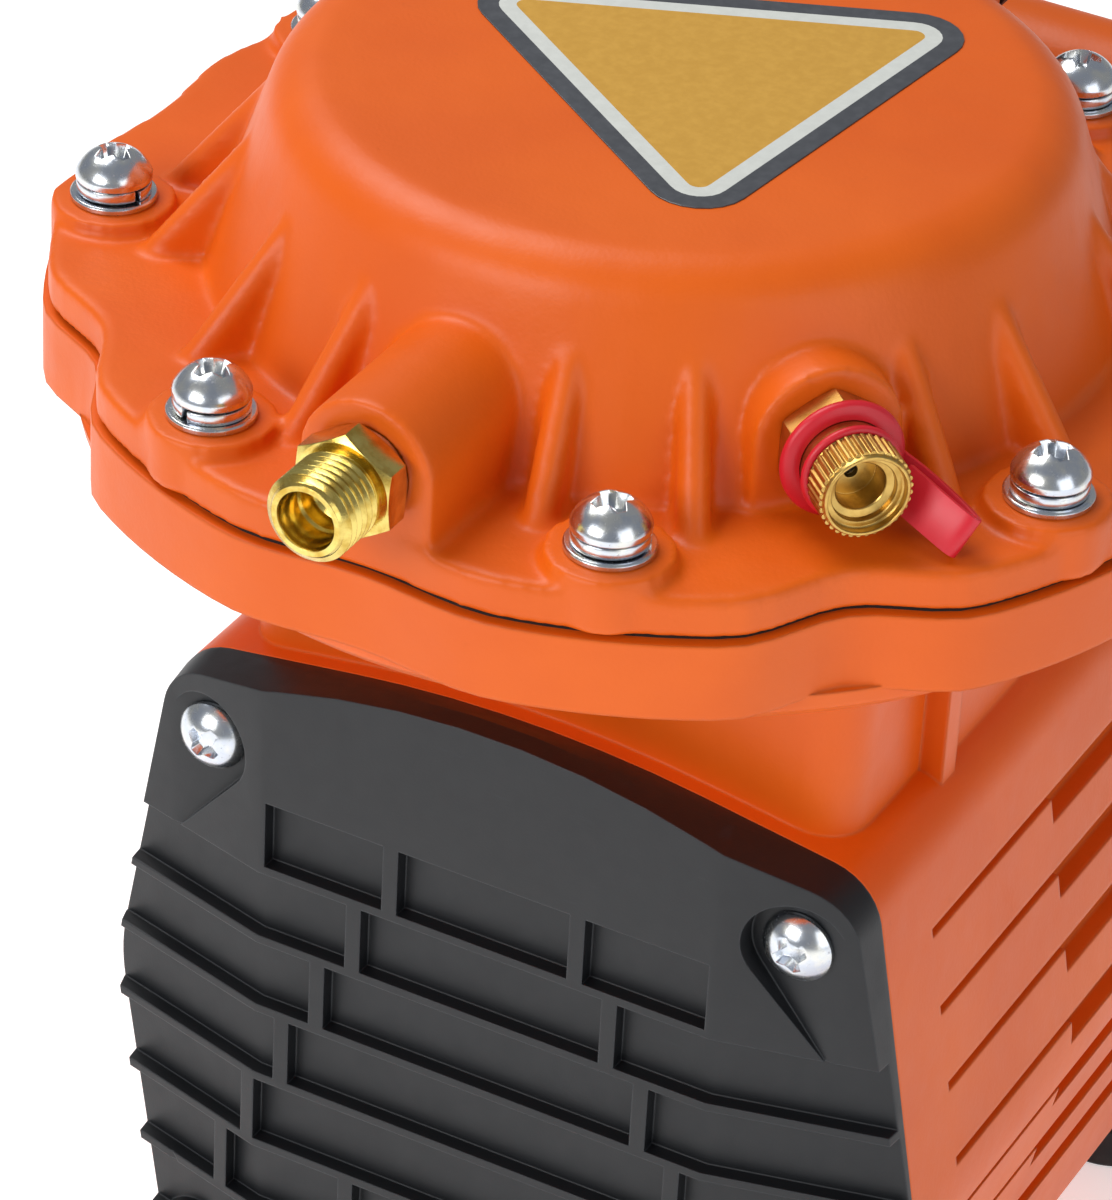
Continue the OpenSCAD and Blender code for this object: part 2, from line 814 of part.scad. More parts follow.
module cover_plan(inset) {
    at_motor() rotate([90, 0, 0]) translate([0, 0, -100]) linear_extrude(200)
        polygon([[-80, 0], [80, 0], [80, cover_edge_top - 4.9 - inset],
            [fold_x, cover_top - inset], [-fold_x, cover_top - inset],
            [-80, cover_edge_top - 4.9 - inset]]);
}

// Half of the panels of one row: the bar nearest the middle stands at x = bar
module front_panels() {
    bar_w = 2.6;
    rail = 1.4;
    top = 46.3;
    rows = 8;
    edge = 80;
    for (i = [0:rows - 1]) {
        inner = i < 5 ? 16 + 6.1 * i : 22 + 6.1 * (i - 5);
        outer = i < 5 ? 0 : inner + 24;
        high = top - rib_pitch * i;
        bars = outer > 0 && outer < 52 ? [inner, outer] : [inner];
        at_motor() translate([0, high - rib_pitch + rail, 20]) difference() {
            translate([i == 0 ? -38 : -edge, 0, 0])
                cube([i == 0 ? 76 : 2 * edge, rib_pitch - rail, 50]);
            for (s = [-1, 1], x = bars)
                translate([s * x - bar_w / 2, -1, -1]) cube([bar_w, rib_pitch + 2, 60]);
        }
    }
}

module front_cover() {
    pocket_r = 7.8;
    color(black) difference() {
        intersection() {
            hull() {
                at_motor() translate([0, 0, body_front]) linear_extrude(1)
                    polygon(rounded(body_corners, body_radii));
                at_motor() translate([0, 0, cover_top - 4]) linear_extrude(4)
                    polygon(rounded(face_corners, face_radii));
            }
            cover_plan(0);
        }
        difference() {
            front_panels();
            cover_plan(panel_depth);
            at_motor() four(cover_screw.x, cover_screw.y) cylinder(r = 11, h = 80);
        }
        difference() {
            at_motor() translate([0, 0, body_front - 1]) linear_extrude(30)
                polygon(rounded(body_corners, body_radii, 0.93));
            translate([0, cover_wall + panel_depth, 0]) difference() {
                at_motor() cylinder(r = 200, h = 90);
                cover_plan(0);
            }
            at_motor() four(cover_screw.x, cover_screw.y) cylinder(r = 7.5, h = 80);
        }
        at_motor() four(cover_screw.x, cover_screw.y) {
            cylinder(r = 2.7, h = 80);
            translate([0, 0, 43.6]) cylinder(r = pocket_r, h = 20);
        }
        // Each pocket opens outwards and towards the motor axis, so only its far wall stands
        at_motor() for (i = [-1, 1], j = [-1, 1])
            translate([i * cover_screw.x, j * cover_screw.y, 43.6])
                rotate([0, 0, atan2(-1.2 * j, i)])
                    translate([0, -pocket_r, 0]) cube([20, 2 * pocket_r, 20]);
    }
}

module front_cover_screws() {
    color(zinc) at_motor() four(cover_screw.x, cover_screw.y)
        translate([0, 0, 43.6]) pan_screw(2.35, 19, 5.7, 3.9);
}

module rear_bracket() {
    front = rear_bearing_y - 2;
    back = body_back - 0.5;
    color(alloy) difference() {
        union() {
            along_motor(back - bracket_t, back) circle(r = stator_r - 0.1);
            along_motor(front, back) circle(r = bearing_r + 5);
        }
        along_motor(rear_bearing_y, back + 1) circle(r = bearing_r + 0.02);
        along_motor(front - 1, back + 1) circle(r = 13);
        for (i = [0:7]) along_motor(100, 140) rotate(45 * i) translate([37, 0]) circle(r = 7.5);
        tie_places() translate([0, 0, -150]) cylinder(r = tie_bolt_r + gap, h = 60);
    }
}

module tie_places() {
    at_motor() for (i = [0:3]) rotate([0, 0, 45 + 90 * i]) translate([tie_circle_r, 0, 0])
        children();
}

// Long bolts that draw the bracket and the stator against the bearing wall
module tie_bolts() {
    front = wall_back - 9;
    back = body_back - 0.5;
    color(zinc) tie_places() {
        translate([0, 0, -back]) cylinder(r = tie_bolt_r, h = back - front);
        translate([0, 0, -back - 2.5]) cylinder(r = 3.6, h = 2.5, $fn = 6);
    }
}

module rear_cover() {
    taper = 0.94;
    back = rear_cover_back;
    color(black) difference() {
        hull() {
            body_slab(body_back - 2, body_back + 12);
            body_slab(back - 1, back, taper);
        }
        at_motor() translate([-100, -100, -body_back]) cube([200, 200, 10]);
        difference() {
            body_slab(body_back - 1, back - 3, 0.87);
            at_motor() four(rear_screw.x, rear_screw.y)
                translate([0, 0, -back]) cylinder(r = 7.5, h = 60);
        }
        for (i = [-2:3]) at_motor() translate([-36, rib_pitch * i - 6.6, -back - 1])
            cube([72, 5.5, 8]);
        for (s = [-1, 1], i = [-1:2]) at_motor()
            translate([s * 70 - 12, rib_pitch * i - 6, -back + 6]) cube([24, 4.8, 10.5]);
        at_motor() four(rear_screw.x, rear_screw.y) {
            translate([0, 0, -back - 5]) cylinder(r = 2.7, h = 60);
            translate([0, 0, -back - 5]) cylinder(r = 5.9, h = 7.5);
        }
        at_motor() translate([-10.6, 44.4, -back - 1]) cube([21.2, 15.2, 8]);
        at_motor() translate([0, -52, -back - 1]) cylinder(r = 6.1, h = 8);
    }
}

module rear_cover_screws() {
    color(zinc) at_motor() four(rear_screw.x, rear_screw.y)
        translate([0, 0, -rear_cover_back + 2.5]) rotate([180, 0, 0]) pan_screw(2.35, 34, 5.4, 2.9);
}

module carrying_handle() {
    roof = -axis_drop + 68.5;
    plate_h = 4;
    color(cast) difference() {
        union() {
            for (x = [-handle_x, handle_x]) at_head() {
                translate([x - 8, handle_at_y - 8, roof]) cube([16, 15, plate_h]);
                translate([x - post_w / 2, handle_at_y - 6.5, roof])
                    cube([post_w, 12, handle_z - roof]);
            }
            at_head() translate([-handle_x - post_w / 2, handle_at_y, handle_z])
                rotate([0, 90, 0]) cylinder(r = grip_r, h = 2 * handle_x + post_w);
        }
        for (x = [-handle_x, handle_x]) at_head() {
            translate([x, handle_at_y, roof - 2]) cylinder(r = 2.7, h = 80);
            translate([x, handle_at_y, roof + 12]) cylinder(r = 5, h = 80);
        }
    }
}

module handle_screws() {
    color(zinc) for (x = [-handle_x, handle_x]) at_head()
        translate([x, handle_at_y, -axis_drop + 80.5]) pan_screw(2.35, 28, 4.6, 3.4);
}

module rubber_feet() {
    color(rubber) foot_places() difference() {
        cylinder(r = foot_r, h = foot_h);
        translate([0, 0, -1]) cylinder(r = 6, h = 6);
        translate([0, 0, -1]) cylinder(r = 2.6, h = 30);
    }
}

module foot_screws() {
    color(zinc) foot_places() translate([0, 0, 5]) rotate([180, 0, 0]) pan_screw(2.35, 20, 5, 3.2);
}

module at_switch() {
    at_motor() translate([0, 52, -rear_cover_back]) children();
}

module power_switch() {
    color(black) at_switch() difference() {
        union() {
            translate([-12.5, -9.5, -1.5]) cube([25, 19, 1.5]);
            translate([-10.5, -7.5, -0.5]) cube([21, 15, 3.4]);
        }
        translate([-8.5, -6, -3]) cube([17, 12, 5.2]);
        translate([-9.6, 0, switch_pin_z]) rotate([0, 90, 0]) cylinder(r = 1.05, h = 19.2);
    }
}

// The rocker rests tilted to its off side and turns about its pin
module switch_rocker() {
    half_w = 8.2;
    color(red) at_switch() translate([half_w, 0, switch_pin_z]) rotate([rocker_tilt, 0, 0])
        rotate([0, -90, 0]) {
            linear_extrude(2 * half_w)
                polygon([[1.5, -5], [1.5, 5], [-2.5, 5], [-1.6, 0], [-2.5, -5]]);
            translate([0, 0, -1.2]) cylinder(r = 1, h = 2 * half_w + 2.4);
        }
}

module cord_inlet() {
    color(black) at_motor() translate([0, -52, -rear_cover_back]) difference() {
        union() {
            translate([0, 0, -5]) cylinder(r = 8.5, h = 5);
            cylinder(r = 6, h = 3);
        }
        translate([0, 0, -6]) cylinder(r = 3.5, h = 20);
    }
}

head_cover();
head_label();
head_screws();
lock_washers();
flat_washers();
outlet_fitting();
outlet_washer();
relief_valve_body();
relief_valve_ball();
relief_valve_spring();
relief_valve_cap();
relief_valve_tether();
intake_cap();
intake_filter();
valve_plate();
valve_plate_seal();
valve_plate_screws();
intake_reed();
discharge_reed();
reed_screws();
diaphragm();
upper_clamp_plate();
lower_clamp_plate();
clamp_screw();
connecting_rod();
rod_bearing();
eccentric();
eccentric_set_screw();
motor_shaft();
front_bearing();
rear_bearing();
rotor();
rotor_end_rings();
stator();
stator_windings();
cooling_fan();
fan_clip();
body_casting();
front_cover();
front_cover_screws();
rear_bracket();
tie_bolts();
rear_cover();
rear_cover_screws();
carrying_handle();
handle_screws();
rubber_feet();
foot_screws();
power_switch();
switch_rocker();
cord_inlet();
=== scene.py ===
import math

import bmesh
import bpy
from mathutils import Matrix, Vector


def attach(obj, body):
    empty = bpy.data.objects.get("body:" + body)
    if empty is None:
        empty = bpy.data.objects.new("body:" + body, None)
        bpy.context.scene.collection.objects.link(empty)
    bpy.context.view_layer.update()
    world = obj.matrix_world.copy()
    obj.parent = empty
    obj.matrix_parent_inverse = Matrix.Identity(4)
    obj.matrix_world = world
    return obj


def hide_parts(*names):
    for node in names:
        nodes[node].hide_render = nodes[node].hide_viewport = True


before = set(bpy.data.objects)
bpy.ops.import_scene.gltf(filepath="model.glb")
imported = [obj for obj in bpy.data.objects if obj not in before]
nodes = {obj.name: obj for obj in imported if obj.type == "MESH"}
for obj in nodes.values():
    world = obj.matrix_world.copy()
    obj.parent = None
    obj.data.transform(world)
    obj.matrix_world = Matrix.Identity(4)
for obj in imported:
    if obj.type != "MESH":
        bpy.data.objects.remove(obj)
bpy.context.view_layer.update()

MM = 0.001
HEAD = Vector((0, -0.026, 0.216))   # head axis, at the level of the screw pads
MOTOR = Vector((0, -0.026, 0.084))  # motor axis, straight under the head axis

# Distances are in millimetres from here on, and angles in degrees from +X towards +Y.
SCREW_ANGLES = [22.5 + 45 * i for i in range(8)]
SCREW_CIRCLE = 82.5                 # radius of the circle through the head screws
FLAT_WASHER = 1.1                   # thickness
LOCK_WASHER = 2.1                   # room that the spring washer takes under the head
COVER_SCREW = (50, 52, 43.6)        # sideways, up and to the front of the motor axis
OUTLET_ANGLE, OUTLET_X, OUTLET_Z = 270, -0.5, 7.2
RELIEF_ANGLE, RELIEF_Z = 316.5, 8
RELIEF_FACE = 68                    # the relief valve's steps, out from the head's axis
RELIEF_HEX_END = 72.3
RELIEF_PLUG = 75.6
RELIEF_TUBE_END = 77.6
RELIEF_CAP_END = 83.4
HEX_ACROSS = 14.6                   # across the flats of both brass hexagons
FOOT_X, FOOT_FRONT, FOOT_BACK = 47, -14, 106
EDGE_SAMPLES = 6
CRISP_ANGLE = 24


# ---------------------------------------------------------------- shader tools

class Value:
    """A number that changes over a surface. Python's operators add Math nodes."""

    def __init__(self, paint, socket):
        self.paint, self.socket = paint, socket

    def _math(self, operation, *others):
        made = self.paint.add("ShaderNodeMath", {"operation": operation},
                              {i: o for i, o in enumerate(others)})
        return Value(self.paint, made.outputs[0])

    def __add__(self, other):
        return self._math("ADD", self, other)

    def __radd__(self, other):
        return self._math("ADD", other, self)

    def __sub__(self, other):
        return self._math("SUBTRACT", self, other)

    def __rsub__(self, other):
        return self._math("SUBTRACT", other, self)

    def __mul__(self, other):
        return self._math("MULTIPLY", self, other)

    def step(self, low, high):
        """0 below low, 1 above high, and smooth in between."""
        made = self.paint.add("ShaderNodeMapRange", {"interpolation_type": "SMOOTHSTEP"},
                              {0: self, 1: low, 2: high, 3: 0.0, 4: 1.0})
        return Value(self.paint, made.outputs[0])

    def clamp(self):
        made = self.paint.add("ShaderNodeClamp", {}, {0: self, 1: 0.0, 2: 1.0})
        return Value(self.paint, made.outputs[0])


class Paint:
    """One material. Patterns are placed by Object coordinates, in metres."""

    def __init__(self, name):
        self.material = bpy.data.materials.new(name)
        self.material.use_nodes = True
        self.tree = self.material.node_tree
        self.shader = self.tree.nodes["Principled BSDF"]
        place = self.add("ShaderNodeTexCoord", {}, {})
        self.place = Value(self, place.outputs["Object"])

    def add(self, kind, settings, sockets):
        node = self.tree.nodes.new(kind)
        for key, setting in settings.items():
            setattr(node, key, setting)
        for key, source in sockets.items():
            if isinstance(source, Value):
                self.tree.links.new(source.socket, node.inputs[key])
            else:
                node.inputs[key].default_value = source
        return node

    def noise(self, scale, detail=3.0, rough=0.5, stretch=None):
        at = self.place
        if stretch:
            at = Value(self, self.add("ShaderNodeMapping", {}, {0: at, 3: stretch}).outputs[0])
        made = self.add("ShaderNodeTexNoise", {}, {"Vector": at, "Scale": scale,
                                                   "Detail": detail, "Roughness": rough})
        return Value(self, made.outputs[0])

    def cells(self, scale):
        made = self.add("ShaderNodeTexVoronoi", {}, {"Vector": self.place, "Scale": scale})
        return Value(self, made.outputs["Distance"])

    def mix(self, factor, first, second):
        made = self.add("ShaderNodeMix", {"data_type": "RGBA"}, {0: factor, 6: first, 7: second})
        return Value(self, made.outputs[2])

    def rounded(self, radius):
        """A normal that makes sharp edges look rounded."""
        made = self.add("ShaderNodeBevel", {"samples": EDGE_SAMPLES}, {"Radius": radius})
        return Value(self, made.outputs[0])

    def edges(self, radius):
        """How far the surface turns away from its own face near an edge, and its normal there."""
        soft = self.rounded(radius)
        flat = self.add("ShaderNodeNewGeometry", {}, {})
        dot = self.add("ShaderNodeVectorMath", {"operation": "DOT_PRODUCT"},
                       {0: soft, 1: Value(self, flat.outputs["Normal"])})
        return 1 - Value(self, dot.outputs["Value"]), soft

    def bump(self, height, strength, distance, over=None):
        sockets = {"Height": height, "Strength": strength, "Distance": distance}
        if over is not None:
            sockets["Normal"] = over
        return Value(self, self.add("ShaderNodeBump", {}, sockets).outputs[0])

    def finish(self, **inputs):
        for key, source in inputs.items():
            socket = self.shader.inputs[key.replace("_", " ")]
            if isinstance(source, Value):
                self.tree.links.new(source.socket, socket)
            else:
                socket.default_value = source
        return self.material


def rgb(r, g, b):
    """A colour as seen on a screen, 0 to 255."""
    return tuple((c / 255 / 12.92 if c / 255 <= 0.04045 else ((c / 255 + 0.055) / 1.055) ** 2.4)
                 for c in (r, g, b)) + (1.0,)


# ---------------------------------------------------------------- finishes

def cast_enamel(name, soft_edges):
    """Orange enamel sprayed on a die casting: a fine orange peel over slow casting waves, and with
    soft_edges a painted highlight along every edge.
    """
    p = Paint(name)
    drift = p.noise(28, 4)
    grime = p.noise(210, 5, 0.65)
    colour = p.mix(drift.step(0.32, 0.72), rgb(216, 90, 8), rgb(224, 98, 14))
    colour = p.mix(grime.step(0.66, 0.82) * 0.16, colour, rgb(150, 62, 26))
    peel = p.noise(1500, 2, 0.4) + p.noise(560, 3, 0.5) * 0.7
    normal = None
    if soft_edges:
        edge_wear_and_highlight, normal = p.edges(0.9 * MM)
        # Lighter orange along every edge, convex and concave: a painted edge highlight, partly
        # thin paint worn at the edges.
        colour = p.mix((edge_wear_and_highlight * 1.6).clamp() * 0.25, colour, rgb(236, 126, 48))
    normal = p.bump(p.noise(75, 2), 0.18, 1.5 * MM, normal)
    normal = p.bump(peel, 0.42, 0.06 * MM, normal)
    return p.finish(Base_Color=colour, Roughness=0.36 + grime * 0.14, Normal=normal,
                    Specular_IOR_Level=0.34)


def satin_black(name, grain, light):
    """Black moulded plastic with a fine spark texture, faint scuffs and a painted highlight along
    every edge.
    """
    p = Paint(name)
    tint = p.noise(40, 3)
    scuff = p.noise(90, 6, 0.7, (1.0, 1.0, 6.0)).step(0.62, 0.80)
    colour = p.mix(tint, rgb(12 + light, 14 + light, 17 + light),
                   rgb(18 + light, 20 + light, 24 + light))
    colour = p.mix(scuff * 0.3, colour, rgb(48, 52, 58))
    edge_wear_and_highlight, soft = p.edges(0.45 * MM)
    # Grey along every edge, convex and concave: a painted edge highlight, partly scuffed edges.
    colour = p.mix((edge_wear_and_highlight * 2.2).clamp() * 0.5, colour, rgb(84, 88, 94))
    normal = p.bump(p.noise(2600, 2, 0.5), grain, 0.05 * MM, soft)
    return p.finish(Base_Color=colour, Roughness=0.40 + p.noise(300, 3) * 0.14 + scuff * 0.08,
                    Normal=normal, Specular_IOR_Level=0.45)


def plated_zinc():
    """Bright zinc plating with faint blue and straw tints and small dull spots."""
    p = Paint("plated_zinc")
    tint = p.noise(420, 3)
    spot = p.noise(1700, 4, 0.6).step(0.60, 0.74)
    colour = p.mix(tint.step(0.35, 0.7), rgb(206, 212, 222), rgb(226, 226, 220))
    colour = p.mix(spot * 0.5, colour, rgb(150, 152, 156))
    normal = p.bump(p.noise(900, 3), 0.25, 0.05 * MM, p.rounded(0.2 * MM))
    return p.finish(Base_Color=colour, Metallic=1.0, Roughness=0.17 + tint * 0.10 + spot * 0.22,
                    Normal=normal)


def turned_brass(name, dull, bright, rough):
    """Machined brass: fine tool marks and a warm tarnish."""
    p = Paint(name)
    tarnish = p.noise(330, 4, 0.6)
    colour = p.mix(tarnish.step(0.38, 0.72), bright, dull)
    marks = p.noise(2600, 3, 0.6)
    normal = p.bump(marks, 0.22, 0.05 * MM, p.rounded(0.18 * MM))
    return p.finish(Base_Color=colour, Metallic=1.0, Roughness=rough + tarnish * 0.16,
                    Normal=normal)


def moulded_red():
    """Flexible red plastic with a slight sheen."""
    p = Paint("moulded_red")
    tint = p.noise(260, 3)
    colour = p.mix(tint, rgb(196, 16, 34), rgb(214, 30, 48))
    normal = p.bump(p.noise(900, 3), 0.2, 0.08 * MM)
    return p.finish(Base_Color=colour, Roughness=0.34 + tint * 0.12, Normal=normal,
                    Subsurface_Weight=0.08, Subsurface_Radius=(0.004, 0.001, 0.001))


def matt_rubber():
    p = Paint("matt_rubber")
    dust = p.noise(160, 5, 0.7)
    colour = p.mix(dust.step(0.45, 0.8) * 0.5, rgb(24, 24, 25), rgb(62, 60, 58))
    normal = p.bump(p.noise(1300, 3), 0.35, 0.08 * MM)
    return p.finish(Base_Color=colour, Roughness=0.72 + dust * 0.16, Normal=normal)


def machined_steel(name, dark, light, rough):
    """Ground or turned steel with a fine one-way grain."""
    p = Paint(name)
    grain = p.noise(500, 4, 0.6, (1.0, 8.0, 1.0))
    colour = p.mix(grain, dark, light)
    normal = p.bump(grain, 0.2, 0.04 * MM)
    return p.finish(Base_Color=colour, Metallic=1.0, Roughness=rough + grain * 0.15, Normal=normal)


def bare_casting():
    p = Paint("bare_casting")
    cloud = p.noise(120, 5, 0.65)
    colour = p.mix(cloud, rgb(178, 180, 182), rgb(205, 207, 208))
    _, soft = p.edges(0.4 * MM)
    normal = p.bump(p.noise(800, 4), 0.4, 0.1 * MM, soft)
    return p.finish(Base_Color=colour, Metallic=0.9, Roughness=0.42 + cloud * 0.18, Normal=normal)


def laminated_steel():
    """Sheets stacked along the motor's axis."""
    p = Paint("laminated_steel")
    sheets = Value(p, p.add("ShaderNodeTexWave", {"bands_direction": "Y"},
                            {"Vector": p.place, "Scale": 320.0, "Distortion": 0.4}).outputs[1])
    colour = p.mix(sheets, rgb(84, 86, 90), rgb(132, 134, 138))
    normal = p.bump(sheets, 0.5, 0.1 * MM)
    return p.finish(Base_Color=colour, Metallic=0.85, Roughness=0.42 + p.noise(200, 4) * 0.2,
                    Normal=normal)


def wound_copper():
    p = Paint("wound_copper")
    turns = Value(p, p.add("ShaderNodeTexWave", {"bands_direction": "DIAGONAL"},
                           {"Vector": p.place, "Scale": 260.0, "Distortion": 1.5}).outputs[1])
    colour = p.mix(turns, rgb(140, 66, 30), rgb(196, 106, 58))
    normal = p.bump(turns, 0.8, 0.3 * MM)
    return p.finish(Base_Color=colour, Metallic=0.7, Roughness=0.32 + turns * 0.12, Normal=normal)


def open_foam():
    p = Paint("open_foam")
    pores = p.cells(900)
    colour = p.mix(pores, rgb(40, 40, 38), rgb(110, 110, 104))
    normal = p.bump(pores, 0.9, 0.5 * MM)
    return p.finish(Base_Color=colour, Roughness=0.85 + p.noise(300) * 0.1, Normal=normal)


def printed_film(name, ink, mottle):
    """Ink on a plastic film, with a satin clear top."""
    p = Paint(name)
    spread = p.noise(600, 4, 0.6)
    colour = p.mix(spread.step(0.3, 0.8), ink, mottle)
    normal = p.bump(p.noise(1100, 3) + p.noise(70, 2) * 2, 0.10, 0.05 * MM)
    return p.finish(Base_Color=colour, Roughness=0.33 + spread * 0.10, Normal=normal,
                    Coat_Weight=0.15, Coat_Roughness=0.2)


ENAMEL = cast_enamel("cast_enamel", True)
ENAMEL_SOFT = cast_enamel("cast_enamel_soft", False)
COVER_BLACK = satin_black("cover_black", 0.35, 0)
TRIM_BLACK = satin_black("trim_black", 0.25, -4)
ZINC = plated_zinc()
BRASS = turned_brass("bright_brass", rgb(196, 160, 70), rgb(226, 204, 118), 0.12)
BRASS_DULL = turned_brass("valve_brass", rgb(176, 136, 66), rgb(206, 170, 96), 0.24)
RED = moulded_red()
RUBBER = matt_rubber()
STEEL = machined_steel("machined_steel", rgb(140, 142, 146), rgb(178, 180, 184), 0.22)
DARK_STEEL = machined_steel("dark_steel", rgb(60, 60, 64), rgb(92, 92, 96), 0.30)
CASTING = bare_casting()
SHEETS = laminated_steel()
COPPER = wound_copper()
FOAM = open_foam()
FILM_AMBER = printed_film("film_amber", rgb(196, 146, 48), rgb(206, 156, 58))
FILM_WHITE = printed_film("film_white", rgb(204, 206, 200), rgb(212, 214, 208))
FILM_GREY = printed_film("film_grey", rgb(62, 64, 69), rgb(74, 76, 81))

NODE_FINISH = {
    "outlet_washer": ZINC, "relief_valve_ball": STEEL, "relief_valve_spring": STEEL,
    "intake_cap": TRIM_BLACK, "intake_filter": FOAM, "valve_plate": CASTING,
    "valve_plate_seal": RUBBER, "valve_plate_screws": ZINC, "intake_reed": STEEL,
    "discharge_reed": STEEL, "reed_screws": ZINC,
    "upper_clamp_plate": CASTING, "lower_clamp_plate": CASTING, "clamp_screw": ZINC,
    "connecting_rod": CASTING, "rod_bearing": STEEL, "eccentric": STEEL,
    "eccentric_set_screw": DARK_STEEL, "motor_shaft": STEEL, "front_bearing": STEEL,
    "rear_bearing": STEEL, "rotor": SHEETS, "rotor_end_rings": CASTING, "stator": SHEETS,
    "stator_windings": COPPER, "cooling_fan": TRIM_BLACK, "fan_clip": STEEL,
    "rear_bracket": CASTING, "tie_bolts": ZINC, "handle_screws": ZINC,
    "foot_screws": ZINC, "power_switch": TRIM_BLACK, "switch_rocker": RED,
    "cord_inlet": TRIM_BLACK, "rear_cover_screws": ZINC,
}
for node, finish in NODE_FINISH.items():
    nodes[node].data.materials.clear()
    nodes[node].data.materials.append(finish)


# ---------------------------------------------------------------- mesh tools

def keep(bm, name, body, finishes, slot, *replaced):
    """Turns a bmesh in metres into a piece that rides on a body."""
    mesh = bpy.data.meshes.new(name)
    bm.to_mesh(mesh)
    bm.free()
    piece = bpy.data.objects.new(name, mesh)
    bpy.context.scene.collection.objects.link(piece)
    for finish in finishes if isinstance(finishes, list) else [finishes]:
        mesh.materials.append(finish)
    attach(piece, body)
    if replaced:
        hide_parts(*replaced)
    return piece


def smooth_to(bm, angle):
    """Shades the faces smooth and leaves only edges sharper than the angle crisp."""
    for face in bm.faces:
        face.smooth = True
    for edge in bm.edges:
        edge.smooth = edge.calc_face_angle(0) < math.radians(angle)


def merged(node):
    """A copy of a CAD node with its loose triangles joined and its degenerate edges and faces
    dissolved.
    """
    bm = bmesh.new()
    bm.from_mesh(nodes[node].data)
    bmesh.ops.remove_doubles(bm, verts=bm.verts, dist=0.00001)
    bmesh.ops.dissolve_degenerate(bm, dist=0.00001, edges=bm.edges)
    return bm


def lathe(profile, steps=48):
    """Spins a profile of (radius, height) in millimetres round +Z. A radius of 0 closes a pole."""
    bm = bmesh.new()
    verts = [bm.verts.new((r * MM, 0, z * MM)) for r, z in profile]
    edges = [bm.edges.new(pair) for pair in zip(verts, verts[1:])]
    bmesh.ops.spin(bm, geom=verts + edges, cent=(0, 0, 0), axis=(0, 0, 1), dvec=(0, 0, 0),
                   angle=2 * math.pi, steps=steps, use_merge=True, use_duplicate=False)
    bmesh.ops.remove_doubles(bm, verts=bm.verts, dist=0.000002)
    bmesh.ops.recalc_face_normals(bm, faces=bm.faces)
    return bm


def put(bm, *places):
    """A bmesh with copies of bm at each matrix."""
    base = bpy.data.meshes.new("copying")
    bm.to_mesh(base)
    bm.free()
    out = bmesh.new()
    for place in places:
        start = len(out.verts)
        out.from_mesh(base)
        out.verts.ensure_lookup_table()
        bmesh.ops.transform(out, matrix=place, verts=out.verts[start:])
    bpy.data.meshes.remove(base)
    return out


def join(*parts):
    out = bmesh.new()
    for bm in parts:
        held = bpy.data.meshes.new("joining")
        bm.to_mesh(held)
        bm.free()
        out.from_mesh(held)
        bpy.data.meshes.remove(held)
    return out


def prism(points, low, high):
    """A flat outline in millimetres, given as (x, y), raised from low to high."""
    bm = bmesh.new()
    face = bm.faces.new([bm.verts.new((x * MM, y * MM, low * MM)) for x, y in points])
    up = bmesh.ops.extrude_face_region(bm, geom=[face])
    moved = [v for v in up["geom"] if isinstance(v, bmesh.types.BMVert)]
    bmesh.ops.translate(bm, vec=(0, 0, (high - low) * MM), verts=moved)
    bmesh.ops.recalc_face_normals(bm, faces=bm.faces)
    return bm


def soften(bm, width, segments, angle=25):
    """Rounds every edge sharper than the angle. The width is in millimetres."""
    sharp = [e for e in bm.edges if e.calc_face_angle(0) > math.radians(angle)]
    bmesh.ops.bevel(bm, geom=sharp, offset=width * MM, offset_type="OFFSET", affect="EDGES",
                    segments=segments, profile=0.5, material=-1, clamp_overlap=True)
    return bm


def cut(bm, tool, operation="DIFFERENCE"):
    """Takes a closed tool out of a closed bmesh, or keeps what both hold."""
    made = []
    for part in (bm, tool):
        mesh = bpy.data.meshes.new("cutting")
        part.to_mesh(mesh)
        part.free()
        piece = bpy.data.objects.new("cutting", mesh)
        bpy.context.scene.collection.objects.link(piece)
        made.append(piece)
    away = made[0].modifiers.new("cut", "BOOLEAN")
    away.operation, away.solver, away.object = operation, "EXACT", made[1]
    result = made[0].evaluated_get(bpy.context.evaluated_depsgraph_get())
    out = bmesh.new()
    out.from_mesh(result.data)
    for piece in made:
        mesh = piece.data
        bpy.data.objects.remove(piece)
        bpy.data.meshes.remove(mesh)
    return out


def polar(r, a):
    return (r * math.cos(math.radians(a)), r * math.sin(math.radians(a)))


def at_screw(angle, lift=0.0, turn=0.0):
    x, y = polar(SCREW_CIRCLE * MM, angle)
    return Matrix.Translation(HEAD + Vector((x, y, lift * MM))) @ Matrix.Rotation(
        math.radians(angle + turn), 4, "Z")


def out_of_head(angle, z, x=0.0):
    """Local +Z points out of the head in a direction, from a height over the pads."""
    return (Matrix.Translation(HEAD + Vector((x * MM, 0, z * MM)))
            @ Matrix.Rotation(math.radians(angle), 4, "Z")
            @ Matrix.Rotation(math.radians(90), 4, "Y"))


AT_OUTLET = out_of_head(OUTLET_ANGLE, OUTLET_Z, OUTLET_X)
AT_RELIEF = out_of_head(RELIEF_ANGLE, RELIEF_Z)


# ---------------------------------------------------------------- castings

def final_mesh(piece):
    return bpy.data.meshes.new_from_object(
        piece.evaluated_get(bpy.context.evaluated_depsgraph_get()))


